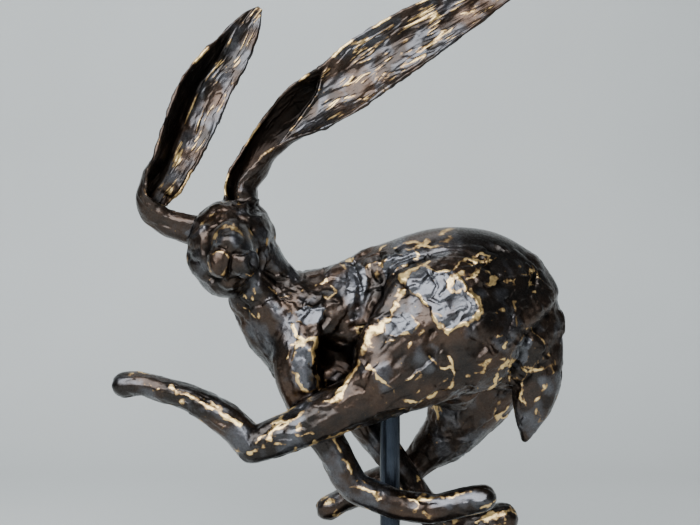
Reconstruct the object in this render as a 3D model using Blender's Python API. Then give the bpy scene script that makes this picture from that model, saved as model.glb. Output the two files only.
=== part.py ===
"""Cast bronze hare at full stretch, head turned to the side, held over a stone block by a steel rod.

The hare runs towards -X and looks towards -Y. The origin is the centre of the block's underside, +Z up.
The casting is modelled as a sculptor works in wax: rolled and pressed forms are laid over one another,
fused into one skin, pressed in with a thumb, and two thin sheet ears are set into the skull.
"""

import math

import bmesh
import bpy
import numpy as np
from mathutils import Matrix, Vector

# Driving sizes, in metres.
HARE_LENGTH = 0.265  # toe of the leading hind foot to the back of the tail
EAR_THICKNESS = 0.0028  # the ear sheet along its middle
EAR_RIM_THICKNESS = 0.0016  # the ear sheet at its rim
ROD_DIAMETER = 0.012
ROD_FREE_LENGTH = 0.142  # top of the block to the underside of the belly
ROD_DEPTH_IN_HARE = 0.026
ROD_DEPTH_IN_BLOCK = 0.018
ROD_END_CHAMFER = 0.0008
SOCKET_CLEARANCE = 0.0003  # round the rod and beyond its ends
BLOCK_LENGTH = 0.160  # along X
BLOCK_WIDTH = 0.110  # along Y
BLOCK_HEIGHT = 0.030
BLOCK_EDGE_RADIUS = 0.002

# The figure's stations are drawn in millimetres at this length, from the point where
# the rod's axis meets the belly. x runs back along the hare, y to its far side, z up.
DRAWN_LENGTH = 265.0
FIGURE_SCALE = HARE_LENGTH / DRAWN_LENGTH
BELLY_HEIGHT = BLOCK_HEIGHT + ROD_FREE_LENGTH

# Fineness of the faceted skin.
SKIN_VOXEL = 2.1  # drawn millimetres
SKIN_SMOOTHING = 6
SKIN_KEPT_SHARE = 0.095  # of the voxel skin's triangles
RING_SIDES = 24
RINGS_PER_STATION = 5
CAP_RINGS = 5
EAR_RINGS_PER_STATION = 3
EAR_POINTS_ACROSS = 9
ROD_SIDES = 32

BRONZE = dict(name="patinated_bronze", colour=(0.075, 0.055, 0.042), roughness=0.34, metallic=0.9)
STEEL = dict(name="blued_steel", colour=(0.030, 0.036, 0.048), roughness=0.30, metallic=0.9)
STONE = dict(name="black_stone", colour=(0.022, 0.022, 0.024), roughness=0.38, metallic=0.0)

ACROSS_BODY = (0.0, 1.0, 0.0)
ACROSS_HEAD = (1.0, 0.0, 0.0)

# Rolled forms: x, y, z, half width across, half depth.
TORSO = [
    (-44, 0, 50, 26, 36),
    (-19, 0, 50, 29, 43.5),
    (6, 0, 54, 33, 49),
    (33, 0, 57, 37, 54),
    (54, 0, 54, 37, 54),
    (69, 0, 49, 31, 46),
    (75, 0, 44, 24, 34),
]
CHEST = [(-80, -9, 72, 15, 18), (-62, -4, 58.5, 23, 30), (-44, 0, 48, 28, 38), (-30, 0, 42, 27, 36)]
NECK = [(-62, -2, 58, 20, 26), (-76, -9, 77, 18, 20), (-83, -14, 92, 18.5, 18)]
NEAR_HAUNCH = [
    (64, -14, 68, 18, 30),
    (45, -22, 58, 23, 42),
    (22, -25, 46, 23, 39),
    (0, -28, 28, 20, 28),
    (-23, -31, 11, 16, 16.5),
    (-52, -36, -3, 12.5, 12),
    (-70, -38, -10, 11, 10.6),
    (-79, -39, -14, 9.5, 9),
]
NEAR_HIND_FOOT = [
    (-79, -39, -13, 9.5, 9),
    (-87, -38, -3.5, 9.5, 9.2),
    (-96, -37, 3.4, 9.2, 8.9),
    (-114, -34, 12.6, 8.2, 7.8),
    (-132, -31, 17.8, 7.6, 7.5),
    (-142.5, -29, 20.8, 7, 6.6),
    (-152.5, -27, 19.6, 8.2, 7.4),
]
FAR_HAUNCH = [
    (66, 14, 62, 18, 30),
    (60, 21, 36, 22, 37),
    (51, 27, 7, 20, 28),
    (40, 31, -16, 16, 18),
    (24, 34, -32, 11.5, 11.5),
    (15.5, 35, -41, 9.8, 9.5),
]
FAR_HIND_FOOT = [
    (15.5, 35, -41, 9.8, 9.5),
    (-2, 36, -49, 9.4, 9.8),
    (-21, 36, -57.5, 8.4, 8.7),
    (-30, 35, -62, 7.6, 7.8),
    (-37.5, 34, -66, 8.2, 8.2),
]
NEAR_FORELEG = [
    (-50, -14, 60, 12, 18),
    (-54, -19, 40, 13, 16),
    (-53, -21, 19, 12, 13),
    (-43, -20, -4, 10, 10.6),
    (-33, -19, -20, 9.6, 9.6),
    (-26.5, -18.8, -33, 9.4, 9.5),
    (-20, -19, -41, 9.2, 9.2),
    (-10.5, -19.3, -45, 9, 9.2),
    (5, -19.3, -50.8, 9, 8.9),
    (23.5, -19.3, -53, 8.8, 8.6),
    (39.5, -20, -49.4, 8.2, 8.2),
    (53, -21, -46.6, 8.6, 8.1),
]
FAR_FORELEG = [
    (-44, 14, 42, 12, 18),
    (-34, 18, 17, 12, 14),
    (-21, 19, -2.5, 10, 10.2),
    (0.7, 18, -30, 9, 9),
    (14, 17.5, -48, 8.8, 8.8),
    (21.5, 17.2, -60, 9, 9.4),
    (32, 17.2, -69.5, 8.8, 9),
    (47, 17.4, -73.5, 8.4, 8.4),
    (61, 18, -72, 8.6, 8.7),
    (70.5, 18.5, -68.5, 9.6, 9.6),
]
TAIL = [
    (68, 0, 90, 10, 11),
    (79, -1, 76, 12, 13),
    (86, -2, 60, 12, 13.6),
    (88, -4, 43, 12, 14.8),
    (87, -5, 26, 11.5, 15.6),
    (85.6, -5, 10, 9.5, 13.2),
    (82, -5, -5, 7, 8),
    (79.8, -5, -14.5, 3, 3),
]
SHOULDER = [(-34, -18, 62, 11, 14), (-46, -21, 45, 12, 16), (-54, -20, 28, 11, 12)]
FAR_SHOULDER = [(-34, 18, 60, 11, 14), (-44, 20, 44, 11, 14), (-44, 18, 26, 10, 12)]
MUZZLE = [(-92, -26, 98, 18, 18), (-90, -38, 96, 14.6, 16), (-88.8, -46, 94.6, 12.6, 14)]
ROD_BOSS = [(0, 0, 16, 12, 12), (0, 0, 6, 10, 10)]

# Pressed lumps: centre, then half size along x, y and z.
SKULL = ((-92, -15, 104), (24.2, 26, 23))
CHEEKS = ((-98, -26, 95.5), (19.6, 21, 20.2))
JAW = ((-95, -26, 87), (17, 19, 18))
BRIDGE = ((-90, -37, 101.5), (12.6, 20, 12.4))
NOSE = ((-89.4, -54, 100.6), (7.6, 6.4, 6.2))
LEFT_WHISKER_PAD = ((-82.4, -50.5, 90.2), (7.8, 8, 9))
RIGHT_WHISKER_PAD = ((-95.2, -50.5, 90.2), (7.8, 8, 9))
CHIN = ((-91, -40, 82), (9, 8, 7))
RUMP = ((76.5, -2, 79), (17, 19, 19))
LUMPS = [SKULL, CHEEKS, JAW, BRIDGE, NOSE, LEFT_WHISKER_PAD, RIGHT_WHISKER_PAD, CHIN, RUMP]

# Thumb strokes: points along the stroke, its reach and its depth; a negative depth raises a ridge.
PRESS_DEPTH_WEIGHT = 0.55  # how much a difference in y counts, against x and z
STROKES = [
    ("hollow behind the near arm", [(-36, -27, 40), (-32, -27, 31)], 8.5, 8.5),
    ("edge of the near arm", [(-44, -31, 50), (-46, -31, 36), (-50, -30, 20)], 5.5, -2.2),
    ("first rib", [(-24, -27, 84), (-25, -30, 60), (-22, -30, 40)], 5, -1.8),
    ("hollow in front of the haunch", [(-8, -27, 82), (-18, -29, 60), (-28, -29, 36)], 6, 3.6),
    ("front edge of the haunch", [(6, -30, 86), (-8, -38, 62), (-18, -42, 44)], 6, -2.2),
    ("lower edge of the haunch", [(60, -38, 24), (40, -44, 10), (16, -44, 2)], 5, 1.6),
    ("far flank hollow", [(-14, 28, 78), (-20, 30, 54), (-20, 30, 34)], 7, 3.2),
    ("crease under the tail root", [(70, -22, 60), (76, -22, 50), (72, -20, 26)], 5, 2.6),
    ("right eye socket", [(-112, -31, 99)], 5.2, 2.4),
    ("left eye socket", [(-78, -28, 119.5)], 5.6, 2.2),
    ("right eye", [(-112, -31, 99)], 2.8, -2.4),
    ("left eye", [(-78, -28, 119.5)], 3, -2.2),
    ("nostrils", [(-99, -54, 95), (-92, -60, 96.4), (-85, -60, 96), (-78, -54, 95.4)], 2.6, 1.6),
    ("parting of the lip", [(-88.6, -61, 94), (-89, -58, 82)], 2.4, 2.4),
]

# Ear sheets, root to tip: x, y, z, half width along the sheet, curl to each side in degrees,
# then the way in which the hollow side faces.
LEFT_EAR = [
    (-85.6, -12, 115, 18.6, 126, -0.80, -0.60, 0.00),
    (-86, -11, 127.7, 19.4, 124, -0.80, -0.60, 0.00),
    (-85.6, -10, 135.5, 19.8, 116, -0.78, -0.62, 0.05),
    (-79.6, -8, 147, 19.4, 103, -0.68, -0.70, 0.22),
    (-73.2, -6, 157.4, 18, 91, -0.52, -0.80, 0.30),
    (-63.6, -4.5, 167.2, 17.4, 78, -0.36, -0.88, 0.30),
    (-52, -3, 176.4, 18.6, 62, -0.20, -0.95, 0.24),
    (-42.5, -2, 183.2, 19.2, 54, -0.12, -0.97, 0.20),
    (-24.6, 0, 197, 19.6, 44, 0.00, -0.99, 0.16),
    (-13.6, 1.5, 206.4, 19.4, 38, 0.00, -1.00, 0.14),
    (7.3, 4, 220.8, 18.4, 32, 0.04, -1.00, 0.10),
    (31.8, 8, 236.6, 15.6, 29, 0.06, -1.00, 0.08),
    (75, 16, 263.4, 8.9, 25, 0.08, -1.00, 0.06),
    (104, 21, 280.5, 1.4, 20, 0.08, -1.00, 0.06),
]
RIGHT_EAR = [
    (-99, -14, 103.5, 16.5, 120, 0.10, 0.50, 0.86),
    (-117.4, -16, 107, 16.5, 115, 0.15, 0.45, 0.88),
    (-130.2, -16, 110.6, 15.6, 108, 0.25, 0.42, 0.85),
    (-140.2, -15.5, 117, 15.6, 98, 0.62, 0.20, 0.74),
    (-143.4, -14.5, 125.2, 16.4, 86, 0.88, -0.14, 0.28),
    (-140, -13.5, 133.5, 17, 75, 0.86, -0.42, 0.06),
    (-134.4, -12.5, 143, 17.2, 65, 0.62, -0.74, -0.16),
    (-122.6, -9.5, 167.4, 17.6, 52, 0.44, -0.86, -0.20),
    (-113.8, -6.5, 187.4, 17.2, 44, 0.38, -0.90, -0.18),
    (-105.6, -4.5, 201.2, 14.8, 40, 0.32, -0.93, -0.16),
    (-96.4, -2.5, 213.6, 12.2, 36, 0.30, -0.94, -0.12),
    (-87.4, -0.5, 228, 8.4, 30, 0.28, -0.95, -0.12),
    (-82.4, 0.5, 236.6, 5.2, 26, 0.26, -0.96, -0.10),
    (-78, 1, 242.6, 1.4, 20, 0.26, -0.96, -0.10),
]

# The crease inside each ear: points of share of its length and place across from -1 to 1. Before the
# crease the sheet sinks by the depth, then rises towards the hollow side as a wall, by that share of the way,
# once the wall opens out between two shares of the length.
LEFT_EAR_FOLD = dict(
    path=[(0.10, 0.3), (0.21, 0.2), (0.286, -0.12), (0.343, -0.39), (0.376, -0.75), (0.41, -0.95)],
    depth=2.2, wall=0.5, opens=(0.16, 0.34),
)
RIGHT_EAR_FOLD = dict(
    path=[(0.36, 0.3), (0.46, 0.13), (0.6, -0.1), (0.7, -0.12), (0.81, -0.3), (0.9, -0.6)],
    depth=0.7, wall=0.35, opens=(0.3, 0.42),
)


def clear_scene():
    for obj in list(bpy.data.objects):
        bpy.data.objects.remove(obj, do_unlink=True)


def material(name, colour, roughness, metallic):
    made = bpy.data.materials.new(name)
    made.use_nodes = True
    shader = made.node_tree.nodes["Principled BSDF"]
    shader.inputs["Base Color"].default_value = (*colour, 1.0)
    shader.inputs["Roughness"].default_value = roughness
    shader.inputs["Metallic"].default_value = metallic
    return made


def add_object(name, mesh, finish=None):
    obj = bpy.data.objects.new(name, mesh)
    bpy.context.scene.collection.objects.link(obj)
    if finish:
        mesh.materials.clear()
        mesh.materials.append(material(**finish))
    return obj


def helper(obj):
    """Marks an object as a tool of the model, not a piece of it."""
    obj.hide_render = True
    obj.display_type = "WIRE"
    return obj


def mesh_of(name, points, faces):
    mesh = bpy.data.meshes.new(name)
    mesh.from_pydata([tuple(p) for p in points], [], [tuple(f) for f in faces])
    mesh.validate()
    bm = bmesh.new()
    bm.from_mesh(mesh)
    bmesh.ops.recalc_face_normals(bm, faces=bm.faces)
    bm.to_mesh(mesh)
    bm.free()
    return mesh


def smooth_rows(stations, per_span):
    """Rows of numbers read from a Catmull-Rom curve through the stations."""
    rows = np.array(stations, float)
    padded = np.vstack([2 * rows[0] - rows[1], rows, 2 * rows[-1] - rows[-2]])
    read = []
    for i in range(len(rows) - 1):
        a, b, c, d = padded[i : i + 4]
        for t in np.arange(per_span) / per_span:
            read.append(
                0.5 * (2 * b + (c - a) * t + (2 * a - 5 * b + 4 * c - d) * t**2
                       + (3 * b - a - 3 * c + d) * t**3)
            )
    read.append(rows[-1])
    return np.array(read)


def unit(vectors):
    return vectors / np.linalg.norm(vectors, axis=-1, keepdims=True)


def rolled_form(name, stations, across):
    """A closed form with oval rings along a smooth line and domed ends."""
    rows = smooth_rows(stations, RINGS_PER_STATION)
    centre, half = rows[:, :3], rows[:, 3:5]
    along = unit(np.gradient(centre, axis=0))
    side = unit(np.array(across) - along * (along @ np.array(across))[:, None])
    up = np.cross(along, side)
    rings = []
    rise = np.arange(CAP_RINGS, 0, -1) / (CAP_RINGS + 0.35)
    for end, sign, shares in ((0, -1, rise), (-1, 1, rise[::-1])):
        dome = half[end].min()
        cap = [
            (centre[end] + along[end] * sign * dome * s, side[end], up[end],
             half[end] * math.sqrt(1 - s * s))
            for s in shares
        ]
        rings.append(cap)
    body = [(centre[i], side[i], up[i], half[i]) for i in range(len(rows))]
    stack = rings[0] + body + rings[1]
    angles = np.arange(RING_SIDES) * 2 * math.pi / RING_SIDES
    points = [
        c + s * h[0] * math.cos(a) + u * h[1] * math.sin(a)
        for c, s, u, h in stack
        for a in angles
    ]
    faces = []
    for i in range(len(stack) - 1):
        for j in range(RING_SIDES):
            k = (j + 1) % RING_SIDES
            low, high = i * RING_SIDES, (i + 1) * RING_SIDES
            faces.append((low + j, low + k, high + k, high + j))
    last = (len(stack) - 1) * RING_SIDES
    faces.append(tuple(range(RING_SIDES)))
    faces.append(tuple(last + j for j in range(RING_SIDES)))
    return mesh_of(name, points, faces)


def lump(name, centre, half):
    bm = bmesh.new()
    place = Matrix.Translation(Vector(centre)) @ Matrix.Diagonal((*half, 1.0))
    bmesh.ops.create_icosphere(bm, subdivisions=4, radius=1.0, matrix=place)
    mesh = bpy.data.meshes.new(name)
    bm.to_mesh(mesh)
    bm.free()
    return mesh


def joined(name, meshes):
    bm = bmesh.new()
    for mesh in meshes:
        bm.from_mesh(mesh)
    both = bpy.data.meshes.new(name)
    bm.to_mesh(both)
    bm.free()
    return both


def evaluated_copy(obj):
    graph = bpy.context.evaluated_depsgraph_get()
    return bpy.data.meshes.new_from_object(obj.evaluated_get(graph))


def fused_skin(mesh):
    """One skin round all the forms, with the creases between them softened."""
    obj = add_object("wax_forms", mesh)
    fuse = obj.modifiers.new("fuse", "REMESH")
    fuse.mode = "VOXEL"
    fuse.voxel_size = SKIN_VOXEL
    soften = obj.modifiers.new("soften", "SMOOTH")
    soften.factor = 0.5
    soften.iterations = SKIN_SMOOTHING
    skin = evaluated_copy(obj)
    bpy.data.objects.remove(obj)
    return skin


def distance_to_line(points, line):
    """Distance of each point to a line of straight pieces, or to a single point."""
    weight = np.array([1.0, PRESS_DEPTH_WEIGHT, 1.0])
    line = np.array(line, float) * weight
    points = points * weight
    if len(line) == 1:
        return np.linalg.norm(points - line[0], axis=1)
    nearest = np.full(len(points), np.inf)
    for a, b in zip(line[:-1], line[1:]):
        share = np.clip((points - a) @ (b - a) / ((b - a) @ (b - a)), 0, 1)
        nearest = np.minimum(nearest, np.linalg.norm(points - a - share[:, None] * (b - a), axis=1))
    return nearest


def press(mesh, strokes):
    """Moves the skin in or out along its normals under each thumb stroke."""
    count = len(mesh.vertices)
    points = np.empty(count * 3, np.float32)
    normals = np.empty(count * 3, np.float32)
    mesh.vertices.foreach_get("co", points)
    mesh.vertices.foreach_get("normal", normals)
    points = points.reshape(-1, 3).astype(float)
    normals = normals.reshape(-1, 3).astype(float)
    move = np.zeros(count)
    for _, line, reach, depth in strokes:
        move -= depth * np.exp(-((distance_to_line(points, line) / reach) ** 2) * 1.6)
    points += normals * move[:, None]
    mesh.vertices.foreach_set("co", points.astype(np.float32).ravel())
    mesh.update()


def eased(low, high, x):
    t = np.clip((x - low) / (high - low), 0, 1)
    return t * t * (3 - 2 * t)


def ear_sheet(name, stations, fold):
    """A curled, tapering sheet: an arc across, carried from root to tip, folded, then given its thickness."""
    rows = smooth_rows(stations, EAR_RINGS_PER_STATION)
    centre, width, curl, face = rows[:, :3], rows[:, 3], np.radians(rows[:, 4]), rows[:, 5:8]
    along = unit(np.gradient(centre, axis=0))
    face = unit(face - along * np.sum(face * along, axis=1, keepdims=True))
    side = np.cross(along, face)
    share = np.linspace(-1, 1, EAR_POINTS_ACROSS)
    angle = curl[:, None] * share
    radius = (width / curl)[:, None]
    middle = (
        centre[:, None]
        + face[:, None] * (radius * (np.sin(curl) / curl)[:, None] - radius * np.cos(angle))[..., None]
        + side[:, None] * (radius * np.sin(angle))[..., None]
    )
    run = np.concatenate([[0], np.cumsum(np.linalg.norm(np.diff(centre, axis=0), axis=1))])
    run /= run[-1]
    low, high = fold["path"][0][0], fold["path"][-1][0]
    span = eased(low - 0.06, low + 0.06, run) * eased(high + 0.03, high - 0.05, run)
    wall = fold["wall"] * eased(*fold["opens"], run)[:, None]
    before = np.maximum(np.interp(run, *zip(*fold["path"]))[:, None] - share, 0)
    rise = before * width[:, None] * wall - eased(0, 0.14, before) * fold["depth"]
    middle = middle + face[:, None] * (span[:, None] * rise)[..., None]
    normal = unit(np.cross(np.gradient(middle, axis=0), np.gradient(middle, axis=1)))
    edge = share**4
    thick, rim = EAR_THICKNESS / FIGURE_SCALE, EAR_RIM_THICKNESS / FIGURE_SCALE
    half = (thick * (1 - edge) + rim * edge) / 2
    front = middle + normal * half[None, :, None]
    back = middle - normal * half[None, :, None]
    rows_count, columns = middle.shape[:2]
    points = np.concatenate([front.reshape(-1, 3), back.reshape(-1, 3)])
    offset = rows_count * columns
    faces = []
    for i in range(rows_count - 1):
        for j in range(columns - 1):
            a, b = i * columns + j, i * columns + j + 1
            c, d = b + columns, a + columns
            faces.append((a, b, c, d))
            faces.append((offset + d, offset + c, offset + b, offset + a))
        for j in (0, columns - 1):
            a, d = i * columns + j, (i + 1) * columns + j
            faces.append((a, d, offset + d, offset + a))
    for i in (0, rows_count - 1):
        for j in range(columns - 1):
            a, b = i * columns + j, i * columns + j + 1
            faces.append((a, b, offset + b, offset + a))
    return mesh_of(name, points, faces)


def turned_bar(name, radius, low, high, chamfer, sides):
    """A round bar about Z between two heights, with chamfered ends."""
    bm = bmesh.new()
    bmesh.ops.create_cone(
        bm, cap_ends=True, segments=sides, radius1=radius, radius2=radius, depth=high - low,
        matrix=Matrix.Translation((0, 0, (low + high) / 2)),
    )
    if chamfer:
        ends = [e for e in bm.edges if abs(e.verts[0].co.z - e.verts[1].co.z) < chamfer]
        bmesh.ops.bevel(bm, geom=ends, offset=chamfer, segments=1, affect="EDGES")
    mesh = bpy.data.meshes.new(name)
    bm.to_mesh(mesh)
    bm.free()
    return mesh


def boolean(obj, other, operation):
    step = obj.modifiers.new(other.name, "BOOLEAN")
    step.operation = operation
    step.object = other
    step.solver = "EXACT"


def wax_forms():
    """Every rolled form and pressed lump of the figure, in drawn millimetres."""
    body_forms = dict(
        torso=TORSO, chest=CHEST, neck=NECK, near_haunch=NEAR_HAUNCH, near_hind_foot=NEAR_HIND_FOOT,
        far_haunch=FAR_HAUNCH, far_hind_foot=FAR_HIND_FOOT, near_foreleg=NEAR_FORELEG,
        far_foreleg=FAR_FORELEG, tail=TAIL, shoulder=SHOULDER, far_shoulder=FAR_SHOULDER,
    )
    forms = [rolled_form(name, rows, ACROSS_BODY) for name, rows in body_forms.items()]
    forms.append(rolled_form("muzzle", MUZZLE, ACROSS_HEAD))
    forms.append(rolled_form("rod_boss", ROD_BOSS, ACROSS_BODY))
    forms += [lump("lump", centre, half) for centre, half in LUMPS]
    return joined("wax", forms)


def place_figure(obj):
    obj.location = (0, 0, BELLY_HEIGHT)
    obj.scale = (FIGURE_SCALE,) * 3


def hare():
    skin = fused_skin(wax_forms())
    press(skin, STROKES)
    skin.shade_smooth()
    obj = add_object("hare", skin, BRONZE)
    thin = obj.modifiers.new("facets", "DECIMATE")
    thin.ratio = SKIN_KEPT_SHARE
    for name, stations, fold in (
        ("left_ear", LEFT_EAR, LEFT_EAR_FOLD), ("right_ear", RIGHT_EAR, RIGHT_EAR_FOLD),
    ):
        ear = helper(add_object(name, ear_sheet(name, stations, fold)))
        place_figure(ear)
        boolean(obj, ear, "UNION")
    place_figure(obj)
    socket = turned_bar(
        "rod_socket_in_hare", ROD_DIAMETER / 2 + SOCKET_CLEARANCE, BELLY_HEIGHT - ROD_FREE_LENGTH / 4,
        BELLY_HEIGHT + ROD_DEPTH_IN_HARE + SOCKET_CLEARANCE, 0, ROD_SIDES,
    )
    boolean(obj, helper(add_object("rod_socket_in_hare", socket)), "DIFFERENCE")


def rod():
    low = BLOCK_HEIGHT - ROD_DEPTH_IN_BLOCK
    high = BELLY_HEIGHT + ROD_DEPTH_IN_HARE
    mesh = turned_bar("support_rod", ROD_DIAMETER / 2, low, high, ROD_END_CHAMFER, ROD_SIDES)
    mesh.shade_smooth()
    mesh.set_sharp_from_angle(angle=math.radians(30))
    add_object("support_rod", mesh, STEEL)


def block():
    bm = bmesh.new()
    bmesh.ops.create_cube(bm, size=1.0)
    bmesh.ops.scale(bm, vec=(BLOCK_LENGTH, BLOCK_WIDTH, BLOCK_HEIGHT), verts=bm.verts)
    bmesh.ops.translate(bm, vec=(0, 0, BLOCK_HEIGHT / 2), verts=bm.verts)
    mesh = bpy.data.meshes.new("stone_block")
    bm.to_mesh(mesh)
    bm.free()
    obj = add_object("stone_block", mesh, STONE)
    edges = obj.modifiers.new("eased edges", "BEVEL")
    edges.width = BLOCK_EDGE_RADIUS
    edges.segments = 2
    socket = turned_bar(
        "rod_socket_in_block", ROD_DIAMETER / 2 + SOCKET_CLEARANCE,
        BLOCK_HEIGHT - ROD_DEPTH_IN_BLOCK - SOCKET_CLEARANCE, BLOCK_HEIGHT + ROD_DEPTH_IN_BLOCK,
        0, ROD_SIDES,
    )
    boolean(obj, helper(add_object("rod_socket_in_block", socket)), "DIFFERENCE")


def main():
    clear_scene()
    hare()
    rod()
    block()


main()
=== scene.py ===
import math

import bmesh
import bpy
import numpy as np
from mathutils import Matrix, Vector


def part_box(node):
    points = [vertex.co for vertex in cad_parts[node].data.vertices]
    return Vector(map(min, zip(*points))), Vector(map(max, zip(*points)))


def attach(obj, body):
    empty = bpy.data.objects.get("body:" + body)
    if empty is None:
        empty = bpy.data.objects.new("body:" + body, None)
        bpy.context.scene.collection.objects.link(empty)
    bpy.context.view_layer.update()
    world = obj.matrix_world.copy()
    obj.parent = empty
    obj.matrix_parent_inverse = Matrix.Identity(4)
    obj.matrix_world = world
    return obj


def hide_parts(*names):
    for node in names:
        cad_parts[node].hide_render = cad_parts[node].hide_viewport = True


# A cast bronze hare at full stretch, over a dark rod and a low block of black stone.
# The figure is worked in drawn millimetres from the point where the rod meets the belly:
# x runs back along the hare, y to its far side, z up. The face looks towards -y.

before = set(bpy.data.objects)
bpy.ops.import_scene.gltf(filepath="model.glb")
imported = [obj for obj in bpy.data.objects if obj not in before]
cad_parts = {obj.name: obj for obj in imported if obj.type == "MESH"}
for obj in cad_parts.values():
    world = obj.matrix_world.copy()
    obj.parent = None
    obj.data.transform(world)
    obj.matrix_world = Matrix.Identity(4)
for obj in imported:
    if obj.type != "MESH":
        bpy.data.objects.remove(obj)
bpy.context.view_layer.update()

figure = dict(
    scale=0.001,                                   # metres to one drawn millimetre
    belly=float(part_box("support_rod")[1][2]) - 0.026,  # the rod runs 26 mm into the belly
)


def unit(v):
    # each vector over its own length
    return v / np.maximum(np.linalg.norm(v, axis=-1, keepdims=True), 1e-12)


def smoothStep(low, high, x):
    # 3t^2 - 2t^3 of the share t of the way from low to high
    t = np.clip((x - low) / (high - low), 0, 1)
    return t * t * (3 - 2 * t)


def hashed(ix, iy, iz, salt):
    # whole numbers mixed by large primes into an even spread from 0 to 1
    n = (ix.astype(np.int64) * 374761393 + iy.astype(np.int64) * 668265263
         + iz.astype(np.int64) * 2147483647 + salt * 1274126177) & 0xFFFFFFFF
    n = ((n ^ (n >> 13)) * 1103515245) & 0xFFFFFFFF
    n = ((n ^ (n >> 15)) * 2654435761) & 0xFFFFFFFF
    return ((n ^ (n >> 16)) & 0xFFFFFF) / float(0xFFFFFF)


def noise(p, size, salt=0):
    # smooth noise from -1 to 1: random slopes at the corners of a cube grid, blended by t^3(6t^2-15t+10)
    q = p / size
    cell = np.floor(q)
    f = q - cell
    blend = f * f * f * (f * (f * 6 - 15) + 10)
    total = np.zeros(len(p))
    for dx in (0, 1):
        for dy in (0, 1):
            for dz in (0, 1):
                cx, cy, cz = cell[:, 0] + dx, cell[:, 1] + dy, cell[:, 2] + dz
                turn = hashed(cx, cy, cz, salt) * 2 * math.pi
                rise = hashed(cx, cy, cz, salt + 77) * 2 - 1
                flat = np.sqrt(1 - rise * rise)
                slope = (flat * np.cos(turn) * (f[:, 0] - dx) + flat * np.sin(turn) * (f[:, 1] - dy)
                         + rise * (f[:, 2] - dz))
                weight = ((blend[:, 0] if dx else 1 - blend[:, 0])
                          * (blend[:, 1] if dy else 1 - blend[:, 1])
                          * (blend[:, 2] if dz else 1 - blend[:, 2]))
                total += slope * weight
    return total * 1.5


def layeredNoise(p, size, layers, salt=0):
    # noise at halving sizes, each layer half as strong as the one before
    return sum(noise(p, size / 2**i, salt + i) / 2**i for i in range(layers))


def plates(p, size, salt=0):
    # cells round one random point in each cube of a grid: distance to the nearest point, gap to the next
    # nearest, the cell's own random number, and the offset from its point
    q = p / size
    cell = np.floor(q)
    nearest = np.full(len(p), 9.0)
    second = np.full(len(p), 9.0)
    number = np.zeros(len(p))
    offset = np.zeros_like(p)
    for dx in (-1, 0, 1):
        for dy in (-1, 0, 1):
            for dz in (-1, 0, 1):
                cx, cy, cz = cell[:, 0] + dx, cell[:, 1] + dy, cell[:, 2] + dz
                seed = np.stack([cx + hashed(cx, cy, cz, salt), cy + hashed(cx, cy, cz, salt + 1),
                                 cz + hashed(cx, cy, cz, salt + 2)], axis=1)
                away = q - seed
                d = np.linalg.norm(away, axis=1)
                closer = d < nearest
                second = np.where(closer, nearest, np.minimum(second, d))
                nearest = np.where(closer, d, nearest)
                number = np.where(closer, hashed(cx, cy, cz, salt + 3), number)
                offset = np.where(closer[:, None], away, offset)
    return nearest * size, (second - nearest) * size, number, offset * size


def smoothRows(stations, perSpan):
    # rows of numbers along a Catmull-Rom curve through the stations
    rows = np.array(stations, float)
    pad = np.vstack([2 * rows[0] - rows[1], rows, 2 * rows[-1] - rows[-2]])
    t = (np.arange(perSpan) / perSpan)[None, :, None]
    a, b, c, d = (pad[i:len(rows) - 1 + i, None, :] for i in range(4))
    curve = 0.5 * (2 * b + (c - a) * t + (2 * a - 5 * b + 4 * c - d) * t**2
                   + (3 * b - a - 3 * c + d) * t**3)
    return np.vstack([curve.reshape(-1, rows.shape[1]), rows[-1:]])



def gridFaces(rows, columns, wrap=True, start=0):
    # the four-cornered faces of a grid of points, joined round its columns when it wraps
    i = np.arange(rows - 1)[:, None]
    j = np.arange(columns if wrap else columns - 1)[None, :]
    k = (j + 1) % columns
    here, below = i * columns, (i + 1) * columns
    quads = np.stack([here + j, here + k, below + k, below + j], axis=-1)
    return quads.reshape(-1, 4) + start


def inMetres(points):
    return points * figure["scale"] + np.array([0, 0, figure["belly"]])


def meshFrom(name, points, quads, scaled=True):
    # points in drawn millimetres become a mesh in metres over the block
    if scaled:
        points = inMetres(points)
    mesh = bpy.data.meshes.new(name)
    mesh.vertices.add(len(points))
    mesh.vertices.foreach_set("co", points.astype(np.float32).ravel())
    mesh.loops.add(len(quads) * 4)
    mesh.loops.foreach_set("vertex_index", quads.astype(np.int32).ravel())
    mesh.polygons.add(len(quads))
    mesh.polygons.foreach_set("loop_start", np.arange(0, len(quads) * 4, 4, dtype=np.int32))
    mesh.update(calc_edges=True)
    return mesh


def addPiece(name, mesh, material=None):
    piece = bpy.data.objects.new(name, mesh)
    bpy.context.scene.collection.objects.link(piece)
    if material:
        mesh.materials.clear()
        mesh.materials.append(material)
    mesh.shade_smooth()
    return piece


def pointsOf(mesh, field="co"):
    flat = np.empty(len(mesh.vertices) * 3, np.float32)
    mesh.vertices.foreach_get(field, flat)
    return flat.reshape(-1, 3).astype(float)


def edgesOf(mesh):
    flat = np.empty(len(mesh.edges) * 2, np.int32)
    mesh.edges.foreach_get("vertices", flat)
    return flat.reshape(-1, 2)


def relaxed(points, edges, rounds, share=0.6):
    # each point moves a share of the way to the mean of its neighbours, several times over
    count = len(points)
    neighbours = np.bincount(edges.ravel(), minlength=count).clip(1)[:, None]
    for _ in range(rounds):
        mean = np.stack([np.bincount(edges[:, 0], points[edges[:, 1], k], count)
                         + np.bincount(edges[:, 1], points[edges[:, 0], k], count)
                         for k in range(points.shape[1])], axis=1) / neighbours
        points = points + (mean - points) * share
    return points


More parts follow.
